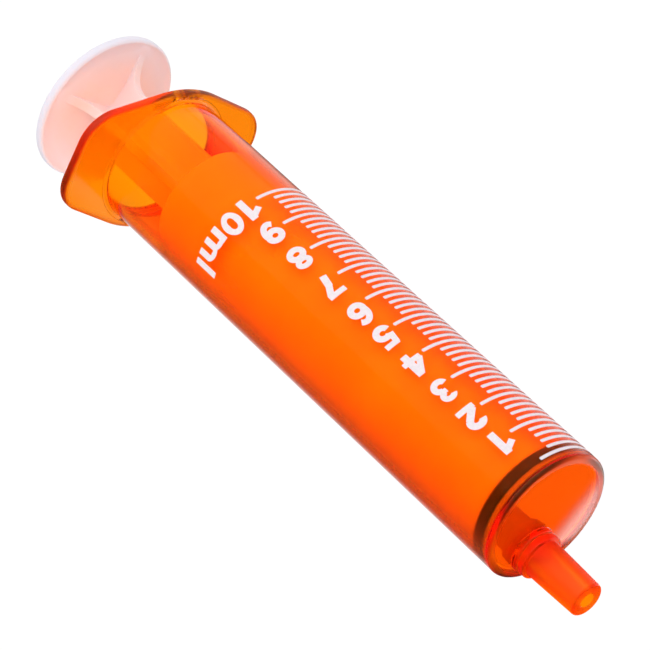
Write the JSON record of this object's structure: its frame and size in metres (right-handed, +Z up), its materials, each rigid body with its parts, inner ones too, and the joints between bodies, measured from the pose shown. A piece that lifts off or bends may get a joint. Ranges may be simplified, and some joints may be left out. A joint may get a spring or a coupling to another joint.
{
  "type": "oral syringe",
  "caption": "Oral medicine syringe: translucent amber barrel with printed scale, hexagonal finger flange and off-centre tip, and a sliding, turning plunger with a round thumb rest.",
  "frame": {"origin": "centre of the syringe's outline seen from above, on the surface that it lies on", "axes": "+Z is up; +X runs from the thumb rest towards the tip, with the barrel's axis 1.2 degrees nose-down in the XZ plane; +Y completes the right-handed frame. The syringe lies on one sloping side of its finger flange and on the barrel's end"},
  "size_m": [0.0964, 0.0304, 0.0207],
  "materials": {
    "amber_barrel": "glossy translucent amber moulding",
    "natural_rod": "uncoloured translucent moulding, satin",
    "natural_head": "uncoloured translucent moulding, satin",
    "black_seal": "smooth black elastomer, lightly lubricated",
    "white_print": "opaque white printing ink"
  },
  "bodies": {
    "barrel": {"barrel": "amber_barrel"},
    "seal": {"seal_ring": "black_seal"},
    "plunger": {"plunger_rod": "natural_rod", "piston_head": "natural_head"}
  },
  "joints": [
    {"name": "plunger_slide", "type": "slide", "parent": "barrel", "child": "seal", "axis": [-0.9998, 0, 0.0203], "range_m": [0, 0.06]},
    {"name": "plunger_spin", "type": "hinge", "parent": "seal", "child": "plunger", "pos_m": [0.03851, 0, 0.00874], "axis": [-0.9998, 0, 0.0203], "continuous": true}
  ]
}
